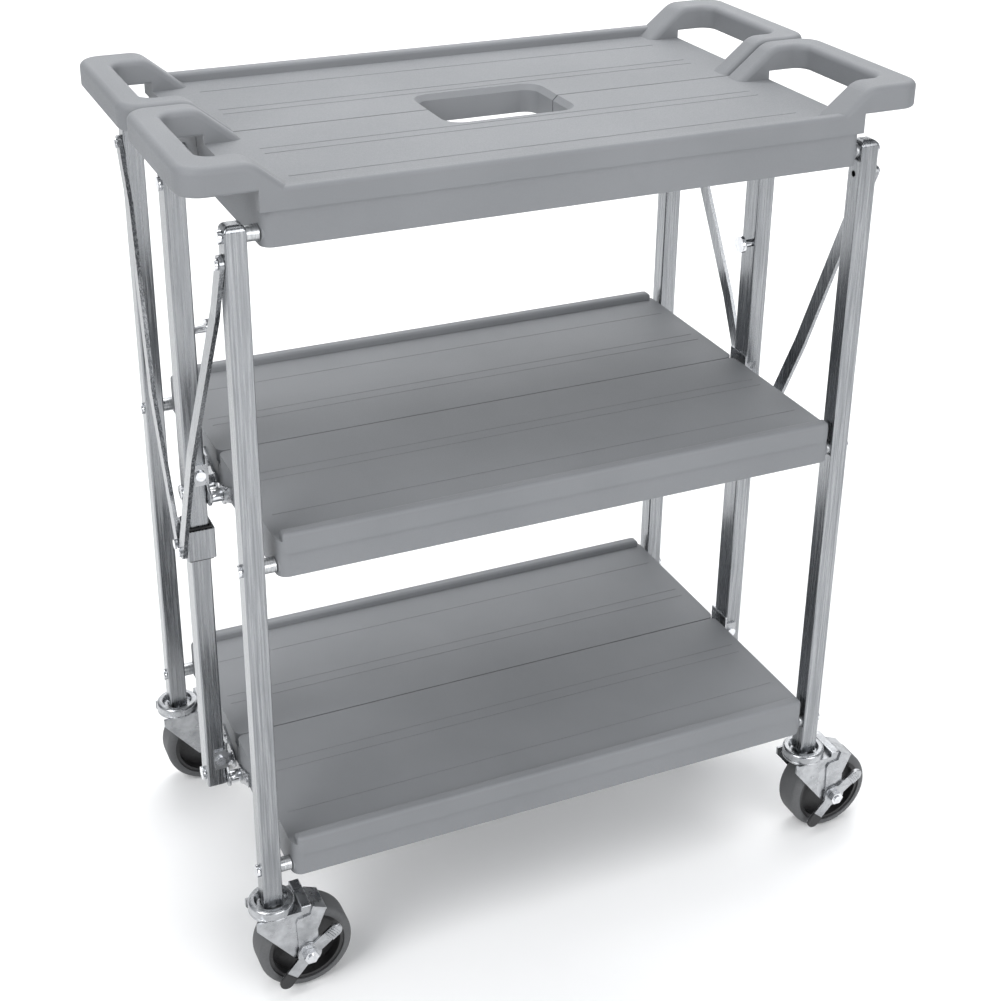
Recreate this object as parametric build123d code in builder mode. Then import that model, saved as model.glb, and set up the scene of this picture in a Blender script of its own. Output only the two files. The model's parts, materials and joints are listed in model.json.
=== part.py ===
from build123d import *
from math import hypot
import os

os.makedirs("parts", exist_ok=True)

# Folding food service trolley: X along its length, Y from front (-) to back (+), Z up from the
# floor. All sizes are in millimetres.

# ---- Levels of the three rows of leg pins above the floor
PIN_LOW = 143.0
PIN_MIDDLE = 474.0
PIN_TOP = 783.7

# ---- Legs: square tube, closed by a crowned end
LEG_X = 303.0
LEG_Y = 177.3
LEG_SIZE = 19.05
LEG_WALL = 1.5
LEG_BOTTOM = PIN_LOW - 39.5
LEG_TOP = PIN_TOP + 10.5
LEG_CROWN = 6.0
LEG_ROUND = 1.5
LEG_OUTER = LEG_X + LEG_SIZE / 2
LEG_INNER = LEG_X - LEG_SIZE / 2

# ---- Centre posts: rectangular tube
POST_X = 308.0
POST_WIDTH = 19.05
POST_DEPTH = 25.4
POST_WALL = 1.5
POST_ROUND = 2.0
POST_BOTTOM = PIN_LOW - 19.0
POST_TOP = PIN_TOP + 12.0
POST_INNER = POST_X - POST_WIDTH / 2
POST_OUTER = POST_X + POST_WIDTH / 2

# ---- Shelves: each is a front and a back half that meet at a seam
SHELF_OUTER_Y = 190.5
SEAM_Y = 0.8
SHELF_SHIFT = 4.0
SKIRT_X = 286.0
BAND_X = 287.0
RIM_X = 281.0
SKIRT_INSET = 1.6
SHELF_WALL = 4.0
RIM_WIDTH = 12.0
RIM_ROUND = 3.5
OUTER_CORNER = 12.0
SEAM_CORNER = 8.0
RIB = 3.0
RIB_DEPTH = 8.0
RIB_X = (-210.0, -105.0, 105.0, 210.0)
BOSS_RADIUS = 8.5
BOSS_DEPTH = 26.0
DECK_LINES = (57.0, 72.0, 138.0)
LINE_WIDTH = 1.4
LINE_RISE = 0.3
TOP_SHELF = dict(pin=PIN_TOP, skirt=-11.0, step=20.0, deck=30.0, rim=39.0)
MIDDLE_SHELF = dict(pin=PIN_MIDDLE, skirt=-9.0, step=15.0, deck=27.0, rim=35.0)
LOW_SHELF = dict(pin=PIN_LOW, skirt=-9.0, step=15.0, deck=27.0, rim=35.0)

# ---- Handle loops and the hand hole of the top shelf
HANDLE_X = 351.0
HANDLE_TOP = 62.0
HANDLE_BOTTOM = 37.5
HANDLE_BAR = 26.0
HANDLE_ARM_OUTER = 34.0
HANDLE_ARM_SEAM = 26.0
HANDLE_FOOT_X = 252.0
HANDLE_FOOT_RISE = 29.5
HANDLE_BEND_X = 292.0
HANDLE_BEND_ROUND = 22.0
HANDLE_CORNER = 22.0
HANDLE_SEAM_Y = 0.9
HANDLE_UPPER_ROUND = 6.0
HANDLE_LOWER_ROUND = 3.0
LOOP_CORNER = 12.0
HAND_HOLE_X = 62.0
HAND_HOLE_Y = 45.0
HAND_HOLE_CORNER = 14.0
HAND_HOLE_LIP = 5.0
HAND_HOLE_DEPTH = 27.0
HAND_HOLE_BEVEL = 45.0

# ---- Fold hinges: pins along X, one either side of each post
HINGE_Y = 15.0
HINGE_DROP = 11.0
PIN_RADIUS = 4.0
PIN_CLEARANCE = 0.05
PLATE = 2.5
FACE_GAP = 0.3
EAR_RADIUS = 10.0
EAR_REACH = 32.0
EAR_RISE = 12.0
EAR_RIVETS = (14.4, 26.2)
EAR_RIVET_RADIUS = 3.0
EAR_RIVET_HEAD = 1.4
SHOULDER_RADIUS = 6.5
BRACKET_RISE = 33.0
BRACKET_LOBE = 9.0
BRACKET_WAIST_Y = 23.0
BRACKET_WAIST = 8.0
FLANGE_LOW = 2.0
FLANGE_HIGH = 24.0
FLANGE_X = 310.0
BRACKET_BOLT_X = 304.0
BRACKET_BOLT_RISE = 13.0
SMALL_BOLT_RADIUS = 3.0
SMALL_HEAD_RADIUS = 5.0
SMALL_HEAD = 2.6
POST_BOLT_DROP = 9.0
POST_BOLT_RADIUS = 3.5
POST_BOLT_HEAD = 3.6
POST_BOLT_HEAD_RADIUS = 7.0

# ---- Leg pins
BOLT_RADIUS = 4.0
BOLT_HEAD_RADIUS = 6.0
BOLT_HEAD = 3.6
SPACER_RADIUS = 7.0
BOLT_REACH = 20.0

# ---- Braces between the legs and the sliding collars
BRACE_TOP_Z = PIN_TOP - 22.9
BRACE_FOOT_Z = PIN_LOW + 262.0
BRACE_FOOT_Y = 8.2
BRACE_WIDTH = 15.0
BRACE_THICK = 4.0
BRACE_FLAT = 150.0
BRACE_HEAD = 60.0
BRACE_ROUND = BRACE_WIDTH / 2 - 0.2

# ---- Collars: a steel sleeve with a plastic liner, sliding on each post
COLLAR_LOW = PIN_LOW + 254.0
COLLAR_HIGH = PIN_LOW + 286.0
COLLAR_WALL = 2.0
LINER_WALL = 2.4
LINER_GAP = 0.3
LINER_FIT = 0.02
LINER_STAND = 2.0
COLLAR_GROWTH = LINER_GAP + LINER_WALL + COLLAR_WALL
COLLAR_OUTER = POST_OUTER + COLLAR_GROWTH

# ---- Stop screws on the inner face of each post
STOP_Z = PIN_LOW + 490.0
STOP_Y = -6.0
STOP_LENGTH = 15.0
STOP_HEAD_RADIUS = 9.0
STOP_HEAD = 4.0

# ---- Casters: X distances are from the leg's axis, towards +X
WHEEL_RADIUS = 47.0
WHEEL_WIDTH = 32.0
TREAD_ROUND = 6.0
HUB_RADIUS = 38.5
HUB_RIM = 4.0
HUB_FACE = 14.5
HUB_WEB = 4.0
HUB_BOSS = 10.0
TRAIL = 29.0
RACEWAY_RADIUS = 22.5
RACEWAY_RECESS = 13.8
RACEWAY_LOW = LEG_BOTTOM - 6.0
RACEWAY_FLOOR = LEG_BOTTOM - 2.0
RACEWAY_TOP = LEG_BOTTOM + 2.7
RACEWAY_ROUND = 3.0
RACEWAY_DISH = 30.0
STEM_RADIUS = 7.9
STEM_LENGTH = 30.0
FORK_TOP = RACEWAY_LOW - FACE_GAP
FORK_PLATE = 2.5
FORK_TAIL = 34.0
FORK_TAIL_RISE = 5.5
FORK_INNER_Y = WHEEL_WIDTH / 2 + 2.0
FORK_OUTER_Y = FORK_INNER_Y + FORK_PLATE
FORK_BOSS = 10.0
FORK_CROWN_ROUND = 1.2
FORK_TAIL_ROUND = 1.5
FORK_HEEL = (16.0, 41.5)
AXLE_RADIUS = 4.0
NUT_RADIUS = 7.5
NUT_THICK = 6.0
NUT_SIDES = 6
BRAKE_PLATE = 2.0
BRAKE_EDGE_X = 17.5
BRAKE_STEP_Z = 86.0
BRAKE_WAIST = (39.0, 72.0)
BRAKE_LIP = ((FORK_TAIL + 0.5, FORK_TOP + 4.3), (FORK_TAIL + 14.5, FORK_TOP - 1.7))
BRAKE_LIP_REACH = 29.0
LEVER_THICK = 2.5
LEVER_GAP = 0.3
LEVER_BOSS = 12.0
LEVER_WIDTH = 13.0
LEVER_ON = (26.5, 20.0)
LEVER_OFF = (-24.3, -27.9)

HEAD_THICK = 4.8
AXLE_TAIL = 1.5
BRAKE_STACK = BRAKE_PLATE + LEVER_THICK + 2 * LEVER_GAP

# ---- The origin stands under the middle of the whole trolley, casters and handles included
CENTRE_X = (LEG_X + TRAIL + WHEEL_RADIUS + SHELF_SHIFT - HANDLE_X) / 2
CENTRE_Y = (HEAD_THICK - BRAKE_STACK - NUT_THICK - AXLE_TAIL) / 2

ENDS = (("left", -1), ("right", 1))
SIDES = (("front", -1), ("back", 1))
LEVELS = (("top", TOP_SHELF), ("middle", MIDDLE_SHELF), ("low", LOW_SHELF))


def save(name, builder):
    """Move the finished piece to the shared origin, label it and write its file."""
    builder.part.move(Location((-CENTRE_X, -CENTRE_Y, 0)))
    builder.part.label = name
    export_step(builder.part, f"parts/{name}.step")


def across(x, y, z):
    """The plane through a point whose normal is +X: sketches are (Y, Z)."""
    return Plane(origin=(x, y, z), x_dir=(0, 1, 0), z_dir=(1, 0, 0))


def facing(x, y, z):
    """The plane through a point whose normal is -Y: sketches are (X, Z)."""
    return Plane(origin=(x, y, z), x_dir=(1, 0, 0), z_dir=(0, -1, 0))


def box_between(low, high, mode=Mode.ADD):
    """A block between two corners."""
    centre = [(a + b) / 2 for a, b in zip(low, high)]
    with Locations(tuple(centre)):
        Box(*[abs(b - a) for a, b in zip(low, high)], mode=mode)


def rod_x(x_from, x_to, y, z, radius, mode=Mode.ADD):
    """A cylinder along X between two stations."""
    with BuildSketch(across(min(x_from, x_to), y, z)) as section:
        Circle(radius)
    extrude(section.sketch, amount=abs(x_to - x_from), mode=mode)


def rod_y(x, y_from, y_to, z, radius, mode=Mode.ADD):
    """A cylinder along Y between two stations."""
    with BuildSketch(facing(x, max(y_from, y_to), z)) as section:
        Circle(radius)
    extrude(section.sketch, amount=abs(y_to - y_from), mode=mode)


def shelf_end(end, inset=0.0):
    """The X of a shelf's end face, or of a station the given distance inside it."""
    return SHELF_SHIFT + end * (SKIRT_X - inset)


# ---- Shelf halves
def shelf_half(name, side, level, handles):
    """One moulded half: a band with a rim along its outer edge, a set-back skirt, open below.

    It is drawn about its own middle and moved along X by the shelf's shift.
    """
    pin = level["pin"]
    deck = pin + level["deck"]
    step = pin + level["step"]
    rim = pin + level["rim"]
    skirt = pin + level["skirt"]
    outer = side * SHELF_OUTER_Y
    seam_corner = RIB if handles else SEAM_CORNER
    loops = [handle_loop(pin, side, end, deck, step) for _, end in ENDS] if handles else []
    band_x = BAND_X if handles else SKIRT_X
    line_x = (HANDLE_FOOT_X if handles else RIM_X) - 2 * RIB
    with BuildPart() as shelf:
        with BuildSketch(Plane.XY.offset(step)) as band:
            with Locations((0, (outer + side * SEAM_Y) / 2)):
                Rectangle(2 * band_x, SHELF_OUTER_Y - SEAM_Y)
            rows = band.vertices().sort_by(Axis.Y, reverse=side > 0)
            fillet(rows[:2], radius=OUTER_CORNER)
            rows = band.vertices().sort_by(Axis.Y, reverse=side < 0)
            fillet(rows[:2], radius=seam_corner)
        extrude(amount=rim - step)
        box_between(
            (-BAND_X - 1, 0, deck),
            (BAND_X + 1, outer - side * RIM_WIDTH, rim + 1),
            mode=Mode.SUBTRACT,
        )
        if not handles:
            for _, end in ENDS:
                box_between(
                    (end * RIM_X, 0, deck),
                    (end * (band_x + 1), outer + side, rim + 1),
                    mode=Mode.SUBTRACT,
                )
        fillet(shelf.faces().sort_by(Axis.Z)[-1].edges(), radius=RIM_ROUND)
        with BuildSketch(Plane.XY.offset(skirt)) as skirt_plan:
            with Locations((0, side * (SHELF_OUTER_Y - SKIRT_INSET + SEAM_Y) / 2)):
                Rectangle(2 * SKIRT_X, SHELF_OUTER_Y - SKIRT_INSET - SEAM_Y)
            rows = skirt_plan.vertices().sort_by(Axis.Y, reverse=side > 0)
            fillet(rows[:2], radius=OUTER_CORNER - SKIRT_INSET)
        extrude(amount=step - skirt)
        for loop in loops:
            add(loop)
        for y in DECK_LINES:
            box_between(
                (-line_x, side * (y - LINE_WIDTH / 2), deck - 1),
                (line_x, side * (y + LINE_WIDTH / 2), deck + LINE_RISE),
            )
        if handles:
            hand_hole(deck, skirt)
        hollow = (SKIRT_X - SHELF_WALL, SHELF_OUTER_Y - SKIRT_INSET - SHELF_WALL)
        pocket(side, skirt, deck - SHELF_WALL, hollow, handles)
        for _, end in ENDS:
            boss = end * (SKIRT_X - 1)
            rod_x(boss, end * (SKIRT_X - BOSS_DEPTH), side * LEG_Y, pin, BOSS_RADIUS)
            rod_x(
                end * (SKIRT_X + 1),
                end * (SKIRT_X - BOSS_DEPTH + 2),
                side * LEG_Y,
                pin,
                BOLT_RADIUS + PIN_CLEARANCE,
                mode=Mode.SUBTRACT,
            )
    shelf.part = shelf.part.moved(Location((SHELF_SHIFT, 0, 0)))
    save(name, shelf)


def pocket(side, skirt, ceiling, hollow, handles):
    """Hollow the underside, leaving its ribs and, on the top shelf, the hand-hole wall."""
    hollow_x, hollow_y = hollow
    with BuildSketch(Plane.XY.offset(skirt - 1)) as opening:
        with Locations((0, side * (hollow_y + SEAM_Y + SHELF_WALL) / 2)):
            Rectangle(2 * hollow_x, hollow_y - SEAM_Y - SHELF_WALL)
        if handles:
            with Locations((0, 0)):
                Rectangle(
                    2 * (HAND_HOLE_X + SHELF_WALL),
                    2 * (HAND_HOLE_Y + SHELF_WALL),
                    mode=Mode.SUBTRACT,
                )
    extrude(opening.sketch, amount=ceiling - skirt + 1, mode=Mode.SUBTRACT)
    for x in RIB_X:
        box_between(
            (x - RIB / 2, side * (SEAM_Y + 1), ceiling - RIB_DEPTH),
            (x + RIB / 2, side * (hollow_y + 1), ceiling + 1),
        )
    if handles:
        below_wall = ceiling + SHELF_WALL - HAND_HOLE_DEPTH
        reach = (HAND_HOLE_X + SHELF_WALL, HAND_HOLE_Y + SHELF_WALL)
        box_between(
            (-reach[0], 0, skirt - 1),
            (reach[0], side * reach[1], below_wall),
            mode=Mode.SUBTRACT,
        )


def hand_hole(deck, skirt):
    """Cut the hand hole through the deck, with a sloping lip round it."""
    with BuildSketch(Plane.XY.offset(skirt - 1)) as shaft:
        RectangleRounded(2 * HAND_HOLE_X, 2 * HAND_HOLE_Y, HAND_HOLE_CORNER)
    extrude(shaft.sketch, amount=deck - skirt + 2, mode=Mode.SUBTRACT)
    with BuildSketch(Plane.XY.offset(deck - HAND_HOLE_LIP)) as throat:
        RectangleRounded(2 * HAND_HOLE_X, 2 * HAND_HOLE_Y, HAND_HOLE_CORNER)
    extrude(throat.sketch, amount=HAND_HOLE_LIP + 1, taper=-HAND_HOLE_BEVEL, mode=Mode.SUBTRACT)


def handle_loop(pin, side, end, deck, step):
    """One raised loop: its arms slope up from the deck, its bar lies outside the leg."""
    front = max(side * HANDLE_SEAM_Y, side * SHELF_OUTER_Y)
    with BuildPart() as handle:
        with BuildSketch(facing(0, front, pin)) as profile:
            with BuildLine():
                Polyline(
                    (end * HANDLE_FOOT_X, HANDLE_FOOT_RISE),
                    (end * HANDLE_BEND_X, HANDLE_TOP),
                    (end * HANDLE_X, HANDLE_TOP),
                    (end * HANDLE_X, HANDLE_BOTTOM),
                    (end * BAND_X, HANDLE_BOTTOM),
                    (end * BAND_X, step - pin),
                    (end * HANDLE_FOOT_X, step - pin),
                    close=True,
                )
            make_face()
            crest = profile.vertices().sort_by(Axis.Y)[-2:]
            fillet(crest.sort_by(Axis.X, reverse=end < 0)[0], radius=HANDLE_BEND_ROUND)
        extrude(amount=SHELF_OUTER_Y - HANDLE_SEAM_Y)
        corners = handle.edges().filter_by(Axis.Z).sort_by(Axis.X, reverse=end > 0)[:2]
        fillet(corners, radius=HANDLE_CORNER)
        bar = end * (HANDLE_X - HANDLE_BAR)
        foot = end * (HANDLE_FOOT_X - HANDLE_BAR)
        near = side * (SEAM_Y + HANDLE_ARM_SEAM)
        far = side * (SHELF_OUTER_Y - HANDLE_ARM_OUTER)
        with BuildSketch(Plane.XY.offset(deck)) as loop:
            with Locations(((bar + foot) / 2, (near + far) / 2)):
                Rectangle(abs(bar - foot), abs(far - near))
            fillet(loop.vertices().sort_by(Axis.X, reverse=end > 0)[:2], radius=LOOP_CORNER)
        extrude(amount=HANDLE_TOP, mode=Mode.SUBTRACT)
        under = pin + HANDLE_BOTTOM
        lower = handle.edges().filter_by(
            lambda e: abs(e.center().Z - under) < 0.1 and abs(e.center().X) > BAND_X + 1
        )
        fillet(lower, radius=HANDLE_LOWER_ROUND)
        raised = handle.edges().filter_by(
            lambda e: e.center().Z > under + HANDLE_LOWER_ROUND + 1
        )
        fillet(raised.filter_by(is_outline), radius=HANDLE_UPPER_ROUND)
    return handle.part


def is_outline(edge):
    """True for an edge between two faces that meet at an angle on a handle's upper side."""
    size = edge.bounding_box().size
    straight = edge.geom_type == GeomType.LINE
    over_arm = straight and 0.8 * HANDLE_ARM_SEAM < size.Y < 1.1 * HANDLE_ARM_OUTER
    upright = straight and size.Z > HANDLE_BEND_ROUND / 2 and size.X < 1
    return not over_arm and not upright


for side_name, side in SIDES:
    for level_name, level in LEVELS:
        shelf_half(f"shelf_{level_name}_{side_name}", side, level, level_name == "top")


# ---- Hinge ears, riveted to the shelf ends
def hinge_ears(name, side, level):
    """A steel ear on each end of a shelf half, bored for the shoulder pin."""
    low = level["pin"] - HINGE_DROP
    with BuildPart() as ears:
        for _, end in ENDS:
            start = min(shelf_end(end), shelf_end(end, -PLATE))
            with BuildSketch(across(start, side * HINGE_Y, low)):
                Circle(EAR_RADIUS)
                with BuildLine():
                    Polyline(
                        (0, EAR_RADIUS - 1),
                        (side * EAR_REACH, EAR_RADIUS + EAR_RISE),
                        (side * EAR_REACH, EAR_RISE / 2),
                        (0, 1 - EAR_RADIUS),
                        close=True,
                    )
                make_face()
                Circle(PIN_RADIUS + PIN_CLEARANCE, mode=Mode.SUBTRACT)
            extrude(amount=PLATE)
            face = shelf_end(end, -PLATE)
            for reach in EAR_RIVETS:
                y = side * (HINGE_Y + reach)
                rod_x(face - end, face + end * EAR_RIVET_HEAD, y, low + EAR_RISE, EAR_RIVET_RADIUS)
    save(name, ears)


for side_name, side in SIDES:
    for level_name, level in LEVELS:
        hinge_ears(f"ears_{level_name}_{side_name}", side, level)


# ---- Centre frame: posts, hinge brackets, shoulder pins and stop screws
for end_name, end in ENDS:
    with BuildPart() as post:
        middle = (POST_BOTTOM + POST_TOP) / 2
        with Locations((end * POST_X, 0, middle)):
            Box(POST_WIDTH, POST_DEPTH, POST_TOP - POST_BOTTOM)
        fillet(post.edges().filter_by(Axis.Z), radius=POST_ROUND)
        with Locations((end * POST_X, 0, middle)):
            Box(
                POST_WIDTH - 2 * POST_WALL,
                POST_DEPTH - 2 * POST_WALL,
                POST_TOP - POST_BOTTOM,
                mode=Mode.SUBTRACT,
            )
        for _, level in LEVELS:
            rod_y(
                end * BRACKET_BOLT_X,
                -POST_DEPTH,
                POST_DEPTH,
                level["pin"] + min(BRACKET_BOLT_RISE, (POST_TOP - level["pin"]) / 2),
                SMALL_BOLT_RADIUS + PIN_CLEARANCE,
                mode=Mode.SUBTRACT,
            )
            rod_x(
                end * (POST_INNER - 1),
                end * (POST_OUTER + 1),
                0,
                level["pin"] - POST_BOLT_DROP,
                POST_BOLT_RADIUS + PIN_CLEARANCE,
                mode=Mode.SUBTRACT,
            )
        rod_x(
            end * (POST_INNER - 1),
            end * (POST_INNER + POST_WALL + 1),
            STOP_Y,
            STOP_Z,
            PIN_RADIUS + PIN_CLEARANCE,
            mode=Mode.SUBTRACT,
        )
    save(f"post_{end_name}", post)

with BuildPart() as hinge_brackets:
    for _, end in ENDS:
        web = end * (POST_INNER - PLATE)
        for _, level in LEVELS:
            pin = level["pin"]
            rise = min(BRACKET_RISE, POST_TOP - pin)
            bolt_rise = min(BRACKET_BOLT_RISE, rise / 2)
            with BuildSketch(across(min(web, end * POST_INNER), 0, pin)):
                with BuildLine():
                    Polyline(
                        (-POST_DEPTH / 2 - PLATE, rise),
                        (POST_DEPTH / 2 + PLATE, rise),
                        (POST_DEPTH / 2 + PLATE, FLANGE_LOW),
                        (BRACKET_WAIST_Y, -BRACKET_WAIST),
                        (HINGE_Y, -HINGE_DROP - BRACKET_LOBE),
                        (-HINGE_Y, -HINGE_DROP - BRACKET_LOBE),
                        (-BRACKET_WAIST_Y, -BRACKET_WAIST),
                        (-POST_DEPTH / 2 - PLATE, FLANGE_LOW),
                        close=True,
                    )
                make_face()
                with Locations((-HINGE_Y, -HINGE_DROP), (HINGE_Y, -HINGE_DROP)):
                    Circle(BRACKET_LOBE)
                with Locations((-HINGE_Y, -HINGE_DROP), (HINGE_Y, -HINGE_DROP)):
                    Circle(PIN_RADIUS + PIN_CLEARANCE, mode=Mode.SUBTRACT)
            extrude(amount=PLATE)
            for _, side in SIDES:
                face = side * POST_DEPTH / 2
                box_between(
                    (web, face, pin + FLANGE_LOW),
                    (end * FLANGE_X, face + side * PLATE, pin + min(FLANGE_HIGH, rise)),
                )
            rod_y(
                end * BRACKET_BOLT_X,
                -POST_DEPTH,
                POST_DEPTH,
                pin + bolt_rise,
                SMALL_BOLT_RADIUS + PIN_CLEARANCE,
                mode=Mode.SUBTRACT,
            )
            rod_x(
                end * (POST_INNER - 2 * PLATE),
                end * (POST_INNER + PLATE),
                0,
                pin - POST_BOLT_DROP,
                POST_BOLT_RADIUS + PIN_CLEARANCE,
                mode=Mode.SUBTRACT,
            )
save("hinge_brackets", hinge_brackets)

with BuildPart() as hinge_pins:
    for _, end in ENDS:
        for _, level in LEVELS:
            pin = level["pin"]
            for _, side in SIDES:
                y, z = side * HINGE_Y, pin - HINGE_DROP
                rod_x(shelf_end(end, -FACE_GAP), end * POST_INNER, y, z, PIN_RADIUS)
                rod_x(
                    shelf_end(end, -PLATE - FACE_GAP),
                    end * (POST_INNER - PLATE - FACE_GAP),
                    y,
                    z,
                    SHOULDER_RADIUS,
                )
            z = pin + min(BRACKET_BOLT_RISE, (POST_TOP - pin) / 2)
            outside = POST_DEPTH / 2 + PLATE
            rod_y(end * BRACKET_BOLT_X, -outside, outside, z, SMALL_BOLT_RADIUS)
            z_bolt = pin - POST_BOLT_DROP
            web = end * (POST_INNER - PLATE)
            rod_x(web, end * POST_OUTER, 0, z_bolt, POST_BOLT_RADIUS)
            rod_x(
                end * POST_OUTER,
                end * (POST_OUTER + POST_BOLT_HEAD),
                0,
                z_bolt,
                POST_BOLT_HEAD_RADIUS,
            )
            for _, side in SIDES:
                rod_y(
                    end * BRACKET_BOLT_X,
                    side * outside,
                    side * (outside + SMALL_HEAD),
                    z,
                    SMALL_HEAD_RADIUS,
                )
save("hinge_pins", hinge_pins)

with BuildPart() as stop_screws:
    for _, end in ENDS:
        tip = POST_INNER - STOP_LENGTH
        rod_x(end * (POST_INNER + POST_WALL), end * tip, STOP_Y, STOP_Z, PIN_RADIUS)
        rod_x(end * (tip + STOP_HEAD), end * tip, STOP_Y, STOP_Z, STOP_HEAD_RADIUS)
save("stop_screws", stop_screws)


# ---- Legs, with the bolts and spacers that pin them to the shelves
def leg(name, end, side):
    """A square tube with a crowned top, bored for its three pins and the brace pivot."""
    with BuildPart() as tube:
        with Locations((end * LEG_X, side * LEG_Y, (LEG_BOTTOM + LEG_TOP) / 2)):
            Box(LEG_SIZE, LEG_SIZE, LEG_TOP - LEG_BOTTOM)
        fillet(tube.edges().filter_by(Axis.Z), radius=LEG_ROUND)
        fillet(tube.faces().sort_by(Axis.Z)[-1].edges(), radius=LEG_CROWN)
        bore = LEG_SIZE - 2 * LEG_WALL
        length = LEG_TOP - LEG_CROWN - LEG_BOTTOM
        with Locations((end * LEG_X, side * LEG_Y, LEG_BOTTOM + length / 2)):
            Box(bore, bore, length, mode=Mode.SUBTRACT)
        holes = [(level["pin"], BOLT_RADIUS) for _, level in LEVELS]
        holes.append((BRACE_TOP_Z, SMALL_BOLT_RADIUS))
        for z, radius in holes:
            rod_x(
                end * (LEG_INNER - 1),
                end * (LEG_OUTER + 1),
                side * LEG_Y,
                z,
                radius + PIN_CLEARANCE,
                mode=Mode.SUBTRACT,
            )
    save(name, tube)


for side_name, side in SIDES:
    for end_name, end in ENDS:
        leg(f"leg_{side_name}_{end_name}", end, side)

    y = side * LEG_Y
    with BuildPart() as leg_bolts:
        for _, end in ENDS:
            for _, level in LEVELS:
                z = level["pin"]
                rod_x(shelf_end(end, BOLT_REACH), end * LEG_OUTER, y, z, BOLT_RADIUS)
                rod_x(end * LEG_OUTER, end * (LEG_OUTER + BOLT_HEAD), y, z, BOLT_HEAD_RADIUS)
            outside = LEG_OUTER + FACE_GAP + BRACE_THICK + FACE_GAP
            rod_x(end * LEG_X, end * outside, y, BRACE_TOP_Z, SMALL_BOLT_RADIUS)
            head = (end * outside, end * (outside + SMALL_HEAD))
            rod_x(*head, y, BRACE_TOP_Z, SMALL_HEAD_RADIUS)
    save(f"leg_bolts_{side_name}", leg_bolts)

    with BuildPart() as leg_spacers:
        for _, end in ENDS:
            for _, level in LEVELS:
                station = (shelf_end(end, -FACE_GAP), end * LEG_INNER, y, level["pin"])
                rod_x(*station, SPACER_RADIUS)
                rod_x(*station, BOLT_RADIUS + PIN_CLEARANCE, mode=Mode.SUBTRACT)
    save(f"leg_spacers_{side_name}", leg_spacers)


# ---- Braces: flat bars cranked outward from the leg to the collar
brace_rise = BRACE_TOP_Z - BRACE_FOOT_Z
brace_run = LEG_Y - BRACE_FOOT_Y
BRACE_LENGTH = hypot(brace_rise, brace_run)
BRACE_CRANK = COLLAR_OUTER - LEG_OUTER


def brace(name, end, side):
    """One bar and, in its lower hole, the rivet that bears on the collar."""
    along = Vector(0, side * brace_run, brace_rise).normalized()
    width_way = along.cross(Vector(end, 0, 0))
    foot = (end * (COLLAR_OUTER + FACE_GAP), side * BRACE_FOOT_Y, BRACE_FOOT_Z)
    edge_plane = Plane(origin=foot, x_dir=along, z_dir=width_way)
    half = BRACE_WIDTH / 2
    path = (
        (-half, 0),
        (BRACE_FLAT, 0),
        (BRACE_LENGTH - BRACE_HEAD, -BRACE_CRANK),
        (BRACE_LENGTH + half, -BRACE_CRANK),
    )
    with BuildPart() as bar:
        with BuildSketch(edge_plane):
            with BuildLine():
                Polyline(*path, *[(x, y + BRACE_THICK) for x, y in reversed(path)], close=True)
            make_face()
        extrude(amount=half, both=True)
        fillet(bar.edges().filter_by(Axis.X), radius=BRACE_ROUND)
        pins = ((BRACE_FOOT_Y, BRACE_FOOT_Z), (LEG_Y, BRACE_TOP_Z))
        for y, z in pins:
            rod_x(
                end * (LEG_OUTER - 1),
                end * (COLLAR_OUTER + BRACE_THICK + 2),
                side * y,
                z,
                SMALL_BOLT_RADIUS + PIN_CLEARANCE,
                mode=Mode.SUBTRACT,
            )
    save(name, bar)


def brace_rivet(name, end, side):
    """The rivet at a brace's foot."""
    inside = end * (COLLAR_OUTER + FACE_GAP)
    outside = end * (COLLAR_OUTER + FACE_GAP + BRACE_THICK)
    with BuildPart() as rivet:
        rod_x(inside, outside, side * BRACE_FOOT_Y, BRACE_FOOT_Z, SMALL_BOLT_RADIUS)
        rod_x(
            outside,
            outside + end * SMALL_HEAD,
            side * BRACE_FOOT_Y,
            BRACE_FOOT_Z,
            SMALL_HEAD_RADIUS,
        )
    save(name, rivet)


for side_name, side in SIDES:
    for end_name, end in ENDS:
        brace(f"brace_{side_name}_{end_name}", end, side)
        brace_rivet(f"brace_rivet_{side_name}_{end_name}", end, side)


# ---- Collars
def sleeve(name, end, inner, outer, low, high):
    """A rectangular sleeve round a post; inner and outer are its growth over the post."""
    with BuildPart() as ring:
        with Locations((end * POST_X, 0, (low + high) / 2)):
            Box(POST_WIDTH + 2 * outer, POST_DEPTH + 2 * outer, high - low)
        fillet(ring.edges().filter_by(Axis.Z), radius=POST_ROUND)
        with Locations((end * POST_X, 0, (low + high) / 2)):
            Box(
                POST_WIDTH + 2 * inner,
                POST_DEPTH + 2 * inner,
                high - low,
                mode=Mode.SUBTRACT,
            )
    save(name, ring)


for end_name, end in ENDS:
    liner_outer = LINER_GAP + LINER_WALL
    sleeve(
        f"collar_{end_name}",
        end,
        liner_outer + LINER_FIT,
        COLLAR_GROWTH,
        COLLAR_LOW,
        COLLAR_HIGH,
    )
    sleeve(
        f"collar_liner_{end_name}",
        end,
        LINER_GAP,
        liner_outer,
        COLLAR_LOW - LINER_STAND,
        COLLAR_HIGH + LINER_STAND,
    )


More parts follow.
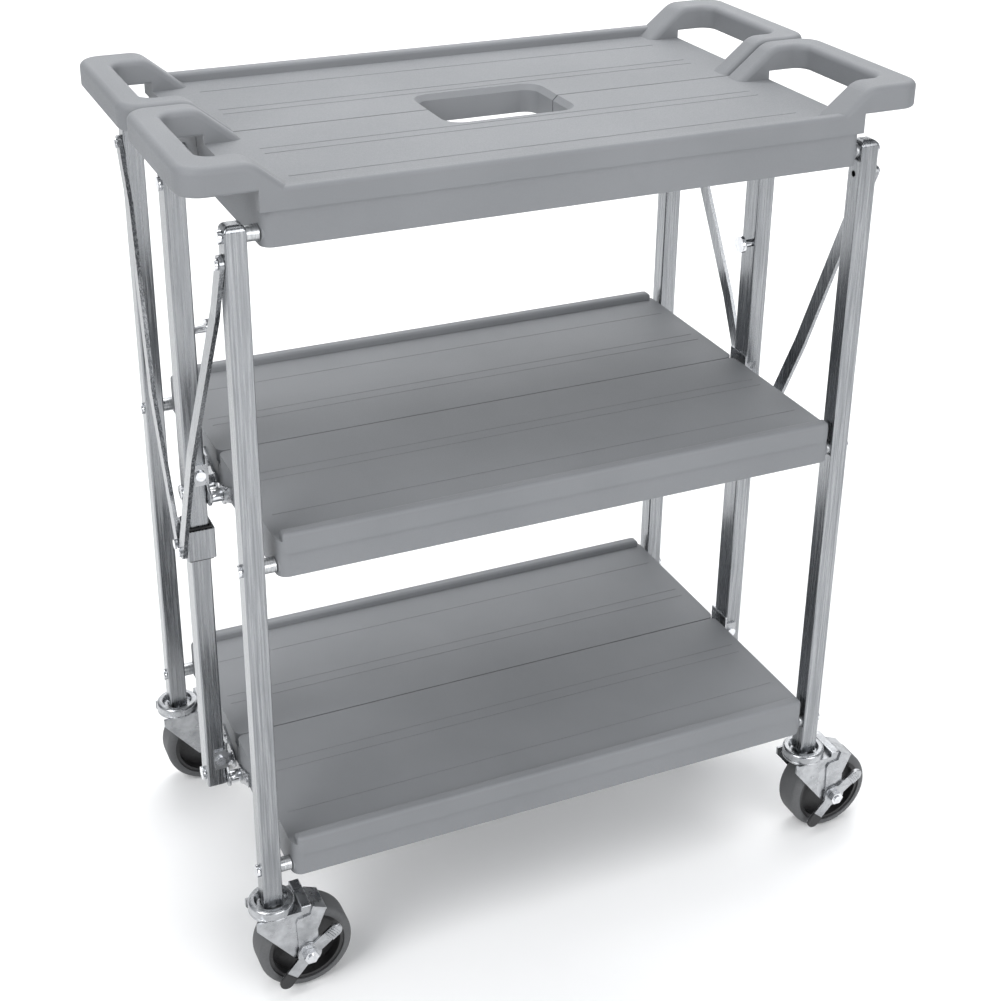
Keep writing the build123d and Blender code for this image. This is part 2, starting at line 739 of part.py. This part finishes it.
# ---- Casters
def caster_fork(name, x, y):
    """Crown plate with a raised tail and a tapering leg on each side of the wheel."""
    with BuildPart() as fork:
        with BuildSketch(Plane(origin=(x, y, FORK_TOP - FORK_PLATE))):
            Circle(RACEWAY_RADIUS)
            with Locations((FORK_TAIL / 2, 0)):
                Rectangle(FORK_TAIL, 2 * FORK_OUTER_Y)
        extrude(amount=FORK_PLATE)
        tail = x + RACEWAY_RADIUS + 1
        box_between(
            (tail, y - FORK_OUTER_Y, FORK_TOP - 1),
            (x + FORK_TAIL, y + FORK_OUTER_Y, FORK_TOP + FORK_TAIL_RISE),
        )
        fillet(fork.faces().sort_by(Axis.Z)[-1].edges(), radius=FORK_TAIL_ROUND)
        rim = fork.edges().filter_by(GeomType.CIRCLE).filter_by_position(
            Axis.Z, FORK_TOP - 0.1, FORK_TOP + 0.1
        )
        fillet(rim, radius=FORK_CROWN_ROUND)
        for near in (-FORK_OUTER_Y, FORK_INNER_Y):
            with BuildSketch(facing(x, y + near + FORK_PLATE, 0)):
                with BuildLine():
                    Polyline(
                        (2 - RACEWAY_RADIUS, FORK_TOP - FORK_CROWN_ROUND),
                        (FORK_TAIL, FORK_TOP - FORK_CROWN_ROUND),
                        (TRAIL + FORK_BOSS, WHEEL_RADIUS),
                        (TRAIL, WHEEL_RADIUS - FORK_BOSS),
                        FORK_HEEL,
                        (2 - RACEWAY_RADIUS, FORK_TOP - FORK_BOSS),
                        close=True,
                    )
                make_face()
                with Locations((TRAIL, WHEEL_RADIUS)):
                    Circle(FORK_BOSS)
            extrude(amount=FORK_PLATE)
        rod_y(
            x + TRAIL,
            y - FORK_OUTER_Y - 1,
            y + FORK_OUTER_Y + 1,
            WHEEL_RADIUS,
            AXLE_RADIUS + PIN_CLEARANCE,
            mode=Mode.SUBTRACT,
        )
    save(name, fork)


def caster_axle(name, x, y, braked):
    """The bolt through fork and wheel, its head behind and its nut in front."""
    nut_y = y - FORK_OUTER_Y
    if braked:
        nut_y = nut_y - BRAKE_STACK
    back = y + FORK_OUTER_Y
    with BuildPart() as axle:
        rod_y(x + TRAIL, nut_y - NUT_THICK - AXLE_TAIL, back, WHEEL_RADIUS, AXLE_RADIUS)
        with BuildSketch(facing(x + TRAIL, nut_y, WHEEL_RADIUS)):
            RegularPolygon(NUT_RADIUS, NUT_SIDES)
        extrude(amount=NUT_THICK)
        with BuildSketch(facing(x + TRAIL, back + HEAD_THICK, WHEEL_RADIUS)):
            RegularPolygon(NUT_RADIUS, NUT_SIDES)
        extrude(amount=HEAD_THICK)
    save(name, axle)


def caster_wheel(name, x, y):
    """A hard core with a boss, web and rim, and a crowned tyre bonded round it."""
    axle_line = Axis((x + TRAIL, y, WHEEL_RADIUS), (0, 1, 0))
    plane = Plane(origin=axle_line.position, x_dir=(1, 0, 0), z_dir=(0, 0, 1))
    bore = AXLE_RADIUS + PIN_CLEARANCE
    boss = FORK_INNER_Y - FACE_GAP
    with BuildPart() as core:
        with BuildSketch(plane):
            with BuildLine():
                Polyline(
                    (bore, -boss),
                    (HUB_BOSS, -boss),
                    (HUB_BOSS, -HUB_WEB),
                    (HUB_RADIUS - HUB_RIM, -HUB_WEB),
                    (HUB_RADIUS - HUB_RIM, -HUB_FACE),
                    (HUB_RADIUS, -HUB_FACE),
                    (HUB_RADIUS, HUB_FACE),
                    (HUB_RADIUS - HUB_RIM, HUB_FACE),
                    (HUB_RADIUS - HUB_RIM, HUB_WEB),
                    (HUB_BOSS, HUB_WEB),
                    (HUB_BOSS, boss),
                    (bore, boss),
                    close=True,
                )
            make_face()
        revolve(axis=axle_line)
    save(f"hub_{name}", core)
    half = WHEEL_WIDTH / 2
    with BuildPart() as tyre:
        with BuildSketch(plane) as section:
            with BuildLine():
                Polyline(
                    (HUB_RADIUS, -half),
                    (WHEEL_RADIUS, -half),
                    (WHEEL_RADIUS, half),
                    (HUB_RADIUS, half),
                    close=True,
                )
            make_face()
            fillet(section.vertices().sort_by(Axis.X)[-2:], radius=TREAD_ROUND)
        revolve(axis=axle_line)
    save(f"tyre_{name}", tyre)


def side_brake(name, x, y):
    """The stamped plate hooked over the fork, and the rocking lever in front of it."""
    axle = (TRAIL, WHEEL_RADIUS)
    hole = AXLE_RADIUS + PIN_CLEARANCE
    with BuildPart() as plate:
        with BuildSketch(facing(x, y - FORK_OUTER_Y, 0)):
            with BuildLine():
                Polyline(
                    (BRAKE_EDGE_X, BRAKE_STEP_Z),
                    (BRAKE_EDGE_X + BRAKE_PLATE, BRAKE_STEP_Z + 2 * BRAKE_PLATE),
                    (FORK_TAIL - BRAKE_PLATE, BRAKE_STEP_Z + 3 * BRAKE_PLATE),
                    BRAKE_LIP[0],
                    BRAKE_LIP[1],
                    BRAKE_WAIST,
                    (TRAIL + FORK_BOSS, WHEEL_RADIUS),
                    (BRAKE_EDGE_X + BRAKE_PLATE, WHEEL_RADIUS),
                    close=True,
                )
            make_face()
            with Locations(axle):
                Circle(FORK_BOSS)
                Circle(hole, mode=Mode.SUBTRACT)
        extrude(amount=BRAKE_PLATE)
        with BuildSketch(facing(x, y - FORK_OUTER_Y + BRAKE_LIP_REACH, 0)) as lip:
            with BuildLine():
                Polyline(
                    *BRAKE_LIP,
                    *[(tip_x, tip_z - BRAKE_PLATE) for tip_x, tip_z in reversed(BRAKE_LIP)],
                    close=True,
                )
            make_face()
        extrude(lip.sketch, amount=BRAKE_LIP_REACH + BRAKE_PLATE)
    save(f"brake_plate_{name}", plate)

    front = y - FORK_OUTER_Y - BRAKE_PLATE - LEVER_GAP
    with BuildPart() as lever:
        with BuildSketch(facing(x + TRAIL, front, WHEEL_RADIUS)):
            Circle(LEVER_BOSS)
            for tip in (LEVER_ON, LEVER_OFF):
                SlotCenterPoint(center=(tip[0] / 2, tip[1] / 2), point=tip, height=LEVER_WIDTH)
            Circle(hole, mode=Mode.SUBTRACT)
        extrude(amount=LEVER_THICK)
    save(f"brake_lever_{name}", lever)


for side_name, side in SIDES:
    y = side * LEG_Y
    with BuildPart() as raceways:
        for _, end in ENDS:
            x = end * LEG_X
            with BuildSketch(Plane(origin=(x, y, RACEWAY_LOW))):
                Circle(RACEWAY_RADIUS)
            disc = extrude(amount=RACEWAY_TOP - RACEWAY_LOW)
            crest = disc.edges().sort_by(Axis.Z)[-1]
            fillet(crest, radius=RACEWAY_ROUND)
            with BuildSketch(Plane(origin=(x, y, RACEWAY_FLOOR))):
                Circle(RACEWAY_RECESS)
            depth = RACEWAY_TOP - RACEWAY_FLOOR + 1
            extrude(amount=depth, taper=-RACEWAY_DISH, mode=Mode.SUBTRACT)
            with BuildSketch(Plane(origin=(x, y, RACEWAY_FLOOR - 1))):
                Circle(STEM_RADIUS)
            extrude(amount=STEM_LENGTH)
    save(f"caster_raceways_{side_name}", raceways)
    for end_name, end in ENDS:
        x = end * LEG_X
        corner = f"{side_name}_{end_name}"
        caster_fork(f"fork_{corner}", x, y)
        caster_axle(f"axle_{corner}", x, y, braked=side < 0)
        caster_wheel(corner, x, y)
        if side < 0:
            side_brake(corner, x, y)
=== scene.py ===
import json
import math

import bmesh
import bpy
from mathutils import Matrix, Vector


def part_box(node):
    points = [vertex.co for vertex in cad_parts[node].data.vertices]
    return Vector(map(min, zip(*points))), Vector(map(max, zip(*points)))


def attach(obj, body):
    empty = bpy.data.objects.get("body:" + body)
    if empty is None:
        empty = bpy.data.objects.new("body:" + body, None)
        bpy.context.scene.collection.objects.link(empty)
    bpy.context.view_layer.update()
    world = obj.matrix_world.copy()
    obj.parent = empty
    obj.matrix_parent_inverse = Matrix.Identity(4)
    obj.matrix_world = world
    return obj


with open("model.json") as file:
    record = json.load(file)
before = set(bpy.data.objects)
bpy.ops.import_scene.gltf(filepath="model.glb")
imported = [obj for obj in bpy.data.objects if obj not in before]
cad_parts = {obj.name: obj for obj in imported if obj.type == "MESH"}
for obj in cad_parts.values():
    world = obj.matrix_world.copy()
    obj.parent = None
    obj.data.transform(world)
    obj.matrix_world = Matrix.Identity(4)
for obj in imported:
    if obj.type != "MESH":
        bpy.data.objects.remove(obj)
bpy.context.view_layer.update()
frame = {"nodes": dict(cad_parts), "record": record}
nodes = frame["nodes"]


# ---- Materials: one per slot of the record
class Finish:
    """A Principled material with helpers to hang procedural textures on it."""

    def __init__(self, name):
        self.material = bpy.data.materials.new(name)
        self.material.use_nodes = True
        self.tree = self.material.node_tree
        self.shader = self.tree.nodes["Principled BSDF"]
        self.place = self.tree.nodes.new("ShaderNodeTexCoord").outputs["Object"]

    def set(self, **values):
        for name, value in values.items():
            self.shader.inputs[name.replace("_", " ")].default_value = value

    def link(self, source, target):
        self.tree.links.new(source, target)

    def noise(self, scale, stretch=(1, 1, 1), detail=3.0, rough=0.5):
        mapping = self.tree.nodes.new("ShaderNodeMapping")
        mapping.inputs["Scale"].default_value = stretch
        self.link(self.place, mapping.inputs["Vector"])
        node = self.tree.nodes.new("ShaderNodeTexNoise")
        node.inputs["Scale"].default_value = scale
        node.inputs["Detail"].default_value = detail
        node.inputs["Roughness"].default_value = rough
        self.link(mapping.outputs["Vector"], node.inputs["Vector"])
        return node.outputs["Fac"]

    def ramp(self, source, low, high, first=0.3, last=0.7):
        node = self.tree.nodes.new("ShaderNodeMapRange")
        node.inputs["From Min"].default_value = first
        node.inputs["From Max"].default_value = last
        node.inputs["To Min"].default_value = low
        node.inputs["To Max"].default_value = high
        self.link(source, node.inputs["Value"])
        return node.outputs["Result"]

    def tint(self, source, dark, light, first=0.3, last=0.7):
        node = self.tree.nodes.new("ShaderNodeValToRGB")
        node.color_ramp.elements[0].position = first
        node.color_ramp.elements[0].color = (*dark, 1)
        node.color_ramp.elements[1].position = last
        node.color_ramp.elements[1].color = (*light, 1)
        self.link(source, node.inputs["Fac"])
        self.link(node.outputs["Color"], self.shader.inputs["Base Color"])

    def rough(self, source, low, high):
        self.link(self.ramp(source, low, high), self.shader.inputs["Roughness"])

    def bump(self, source, strength, distance):
        node = self.tree.nodes.new("ShaderNodeBump")
        node.inputs["Strength"].default_value = strength
        node.inputs["Distance"].default_value = distance
        self.link(source, node.inputs["Height"])
        self.link(node.outputs["Normal"], self.shader.inputs["Normal"])


def shelf_plastic():
    f = Finish("shelf_plastic")
    f.tint(f.noise(6, detail=5), (0.172, 0.179, 0.189), (0.198, 0.205, 0.216))
    grain = f.noise(900, detail=2)
    f.rough(grain, 0.5, 0.68)
    f.bump(grain, 0.12, 0.0006)
    return f.material


def tube_steel():
    f = Finish("tube_steel")
    streak = f.noise(60, stretch=(9, 9, 0.25), detail=6)
    f.tint(streak, (0.22, 0.228, 0.24), (0.38, 0.39, 0.402))
    f.rough(streak, 0.18, 0.34)
    f.bump(streak, 0.06, 0.0004)
    f.set(Metallic=1.0)
    return f.material


def plated_steel():
    f = Finish("plated_steel")
    cloud = f.noise(90, detail=6)
    f.tint(cloud, (0.32, 0.328, 0.34), (0.52, 0.53, 0.545))
    f.rough(cloud, 0.18, 0.38)
    f.bump(cloud, 0.05, 0.0005)
    f.set(Metallic=1.0)
    return f.material


def fastener_chrome():
    f = Finish("fastener_chrome")
    cloud = f.noise(250, detail=4)
    f.tint(cloud, (0.62, 0.63, 0.65), (0.82, 0.83, 0.85))
    f.rough(cloud, 0.08, 0.2)
    f.set(Metallic=1.0)
    return f.material


def spacer_steel():
    f = Finish("spacer_steel")
    turned = f.noise(140, stretch=(7, 1, 1), detail=4)
    f.tint(turned, (0.30, 0.31, 0.32), (0.62, 0.63, 0.64))
    f.rough(turned, 0.25, 0.45)
    f.bump(turned, 0.2, 0.0004)
    f.set(Metallic=1.0)
    return f.material


def black_plastic(name, low, high):
    f = Finish(name)
    grain = f.noise(500, detail=3)
    f.tint(grain, (0.012, 0.012, 0.013), (0.026, 0.026, 0.027))
    f.rough(grain, low, high)
    f.bump(grain, 0.08, 0.0004)
    return f.material


def tyre_rubber():
    f = Finish("tyre_rubber")
    grain = f.noise(400, detail=4)
    f.tint(grain, (0.075, 0.077, 0.08), (0.1, 0.102, 0.105))
    f.rough(grain, 0.55, 0.75)
    f.bump(grain, 0.1, 0.0004)
    return f.material


finishes = {
    "shelf_plastic": shelf_plastic(),
    "tube_steel": tube_steel(),
    "plated_steel": plated_steel(),
    "fastener_chrome": fastener_chrome(),
    "spacer_steel": spacer_steel(),
    "liner_plastic": black_plastic("liner_plastic", 0.45, 0.6),
    "hub_plastic": black_plastic("hub_plastic", 0.3, 0.45),
    "tyre_rubber": tyre_rubber(),
}
for part in frame["record"]["subparts"]:
    mesh = nodes[part["node"]].data
    mesh.materials.clear()
    mesh.materials.append(finishes[part["material_slot"]])


# ---- Small shaped details that ride on the CAD bodies
DOME = 0.0016
PRESSED_EDGE = 0.0004
WELD_REACH = 0.00001
SHARP = math.radians(50)


def soften(node, width):
    """Round the hard rims of a turned or pressed node."""
    weld = nodes[node].modifiers.new("weld", "WELD")
    weld.merge_threshold = WELD_REACH
    round_off = nodes[node].modifiers.new("round", "BEVEL")
    round_off.width = width
    round_off.segments = 3
    round_off.limit_method = "ANGLE"
    round_off.angle_limit = SHARP


# Caps of the brake lever, in metres along and across the lever
LEVER_OFF = (-24.3, -27.9)
LEVER_ON = (26.5, 20.0)
CAP_NEAR = 0.0285
CAP_FAR = 0.0442
CAP_HALF = 0.0071
CAP_ROUND = 0.0008
CAP_TAPER = 0.008
CAP_STEPS = 12
TAB_SHIFT = 0.004
FACE_COVER = 0.0006
BACK_BITE = 0.0002
RIDGES = 4
RIDGE_FIRST = 0.003
RIDGE_STEP = 0.0024
RIDGE_HALF = 0.0007
RIDGE_HEIGHT = 0.0009
RIDGE_CREST = 0.6
RIDGE_REACH = 0.78


def cap_outline():
    """Reach and side of a strip with one round end."""
    outline = [(CAP_NEAR, -CAP_HALF), (CAP_NEAR, CAP_HALF), (CAP_FAR - CAP_HALF, CAP_HALF)]
    for step in range(1, CAP_STEPS):
        turn = math.pi / 2 - math.pi * step / CAP_STEPS
        reach = CAP_FAR - CAP_HALF + CAP_HALF * math.cos(turn)
        outline.append((reach, CAP_HALF * math.sin(turn)))
    outline.append((CAP_FAR - CAP_HALF, -CAP_HALF))
    return outline


def ridge(made, start, along, across, floor):
    """One raised bar across the cap's face."""
    bar = []
    for side, depth in ((-1, 0), (-1, -RIDGE_HEIGHT), (1, -RIDGE_HEIGHT), (1, 0)):
        for offset in (-RIDGE_HALF, RIDGE_HALF):
            lean = offset * (RIDGE_CREST if depth else 1.0)
            spot = start + along * lean + across * (side * CAP_HALF * RIDGE_REACH)
            bar.append(made.verts.new((spot.x, floor + depth, spot.z)))
    made.faces.new((bar[2], bar[3], bar[5], bar[4]))
    made.faces.new((bar[0], bar[2], bar[4], bar[6]))
    made.faces.new((bar[1], bar[7], bar[5], bar[3]))
    made.faces.new((bar[0], bar[1], bar[3], bar[2]))
    made.faces.new((bar[4], bar[5], bar[7], bar[6]))


def cap(name, body, centre, toward, face_y, back_y, finish, ridges):
    """A rounded cap over one end of the brake lever; its face may carry raised ridges."""
    along = Vector((toward[0], 0, toward[1])).normalized()
    across = Vector((-along.z, 0, along.x))
    shift = TAB_SHIFT if ridges else 0.0
    middle = (CAP_NEAR + CAP_FAR) / 2
    levels = (
        (back_y, CAP_ROUND),
        (back_y - CAP_ROUND, 0),
        (face_y, 0),
        (face_y - CAP_ROUND, CAP_ROUND),
    )
    made = bmesh.new()
    rings = []
    for depth, inset in levels:
        ring = []
        for reach, side in cap_outline():
            reach = middle + (reach - middle) * (1 - inset / CAP_TAPER)
            side = side * (1 - inset / CAP_HALF)
            spot = centre + along * (reach - shift) + across * side
            ring.append(made.verts.new((spot.x, depth, spot.z)))
        rings.append(ring)
    for low_ring, high_ring in zip(rings, rings[1:]):
        for i in range(len(low_ring)):
            j = (i + 1) % len(low_ring)
            made.faces.new((low_ring[i], low_ring[j], high_ring[j], high_ring[i]))
    made.faces.new(rings[0])
    made.faces.new(list(reversed(rings[-1])))
    for i in range(ridges):
        start = centre + along * (CAP_NEAR - shift + RIDGE_FIRST + i * RIDGE_STEP)
        ridge(made, start, along, across, face_y - CAP_ROUND)
    bmesh.ops.recalc_face_normals(made, faces=made.faces)
    data = bpy.data.meshes.new(name)
    made.to_mesh(data)
    made.free()
    piece = bpy.data.objects.new(name, data)
    bpy.context.scene.collection.objects.link(piece)
    data.materials.append(finishes[finish])
    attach(piece, body)


for end in ("left", "right"):
    lever_low, lever_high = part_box(f"brake_lever_front_{end}")
    axle_low, axle_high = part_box(f"axle_front_{end}")
    centre = Vector(((axle_low[0] + axle_high[0]) / 2, 0, (axle_low[2] + axle_high[2]) / 2))
    face = lever_low[1] - FACE_COVER
    back = lever_high[1] - BACK_BITE
    body = f"brake_front_{end}"
    cap(f"brake_grip_{end}", body, centre, LEVER_OFF, face, back, "liner_plastic", 0)
    cap(f"brake_tab_{end}", body, centre, LEVER_ON, face, back, "plated_steel", RIDGES)

for node in nodes:
    if node.startswith(("leg_bolts", "hinge_pins", "stop_screws")):
        soften(node, DOME)
    if node.startswith(("fork", "brake_plate", "brake_lever", "ears", "hinge_brackets")):
        soften(node, PRESSED_EDGE)


# ---- Where the camera stands: metres, with turns about Z, its own side and its own view
CAMERA_PLACE = (-0.6623, -1.4502, 1.2636)
CAMERA_AZ = math.radians(24.434)
CAMERA_EL = math.radians(24.874)
CAMERA_ROLL = math.radians(0.642)
CAMERA_LENS = 62.34
CAMERA_SHIFT = -0.1204
SENSOR = 36


# ---- Stage: a pale sweep that is floor and backdrop in one
def sweep():
    """A floor that curves up into a backdrop behind the trolley."""
    half = 6.0
    near = -4.0
    far = 3.4
    radius = 1.2
    height = 5.0
    steps = 16
    profile = [(near, 0.0), (far - radius, 0.0)]
    for step in range(1, steps + 1):
        turn = math.pi / 2 * step / steps
        profile.append((far - radius + radius * math.sin(turn), radius - radius * math.cos(turn)))
    profile.append((far, height))
    mesh = bmesh.new()
    rows = [[mesh.verts.new((x, y, z)) for y, z in profile] for x in (-half, half)]
    for a, b, c, d in zip(rows[0], rows[1], rows[1][1:], rows[0][1:]):
        mesh.faces.new((a, b, c, d)).smooth = True
    data = bpy.data.meshes.new("sweep")
    mesh.to_mesh(data)
    mesh.free()
    made = bpy.data.objects.new("sweep", data)
    bpy.context.scene.collection.objects.link(made)
    turned = Matrix.Rotation(-CAMERA_AZ, 4, "Z")
    data.transform(turned)
    f = Finish("sweep")
    paper = f.noise(3, detail=4)
    f.tint(paper, (0.93, 0.93, 0.93), (0.96, 0.96, 0.96))
    f.rough(paper, 0.7, 0.8)
    data.materials.append(f.material)


sweep()


# ---- Soft studio light
def softbox(name, place, target, width, height, power):
    """A rectangular light at a place, aimed at a target; metres and watts."""
    lamp = bpy.data.lights.new(name, "AREA")
    lamp.shape = "RECTANGLE"
    lamp.size = width
    lamp.size_y = height
    lamp.energy = power
    made = bpy.data.objects.new(name, lamp)
    made.location = place
    made.rotation_mode = "QUATERNION"
    made.rotation_quaternion = (Vector(target) - Vector(place)).to_track_quat("-Z", "Y")
    bpy.context.scene.collection.objects.link(made)


softbox("key", (-2.2, -1.0, 2.3), (0, 0, 0.5), 1.6, 2.2, 60)
softbox("top", (0.2, 0.3, 2.9), (0, 0, 0.4), 2.4, 2.4, 28)
softbox("front", (0.9, -3.0, 1.5), (0, 0, 0.5), 2.4, 1.8, 54)
softbox("wall", (1.0, 1.6, 3.4), (1.4, 3.0, 0.6), 3.2, 1.6, 82)

world = bpy.data.worlds.new("studio")
bpy.context.scene.world = world
world.use_nodes = True
sky = world.node_tree.nodes["Background"]
sky.inputs["Color"].default_value = (0.93, 0.96, 1.0, 1)
sky.inputs["Strength"].default_value = 0.42
bpy.context.scene.view_settings.view_transform = "Standard"


# ---- Camera
def photographer():
    """Set up the camera from its place and its three turns."""
    ahead = Vector((
        math.sin(CAMERA_AZ) * math.cos(CAMERA_EL),
        math.cos(CAMERA_AZ) * math.cos(CAMERA_EL),
        -math.sin(CAMERA_EL),
    ))
    right = Vector((math.cos(CAMERA_AZ), -math.sin(CAMERA_AZ), 0))
    up = right.cross(ahead)
    x_axis = right * math.cos(CAMERA_ROLL) + up * math.sin(CAMERA_ROLL)
    y_axis = -right * math.sin(CAMERA_ROLL) + up * math.cos(CAMERA_ROLL)
    data = bpy.data.cameras.new("camera")
    data.sensor_width = SENSOR
    data.lens = CAMERA_LENS
    data.shift_y = CAMERA_SHIFT
    data.clip_start = 0.05
    data.clip_end = 50
    made = bpy.data.objects.new("camera", data)
    turn = Matrix((x_axis, y_axis, -ahead)).transposed().to_4x4()
    made.matrix_world = Matrix.Translation(CAMERA_PLACE) @ turn
    bpy.context.scene.collection.objects.link(made)
    bpy.context.scene.camera = made


photographer()
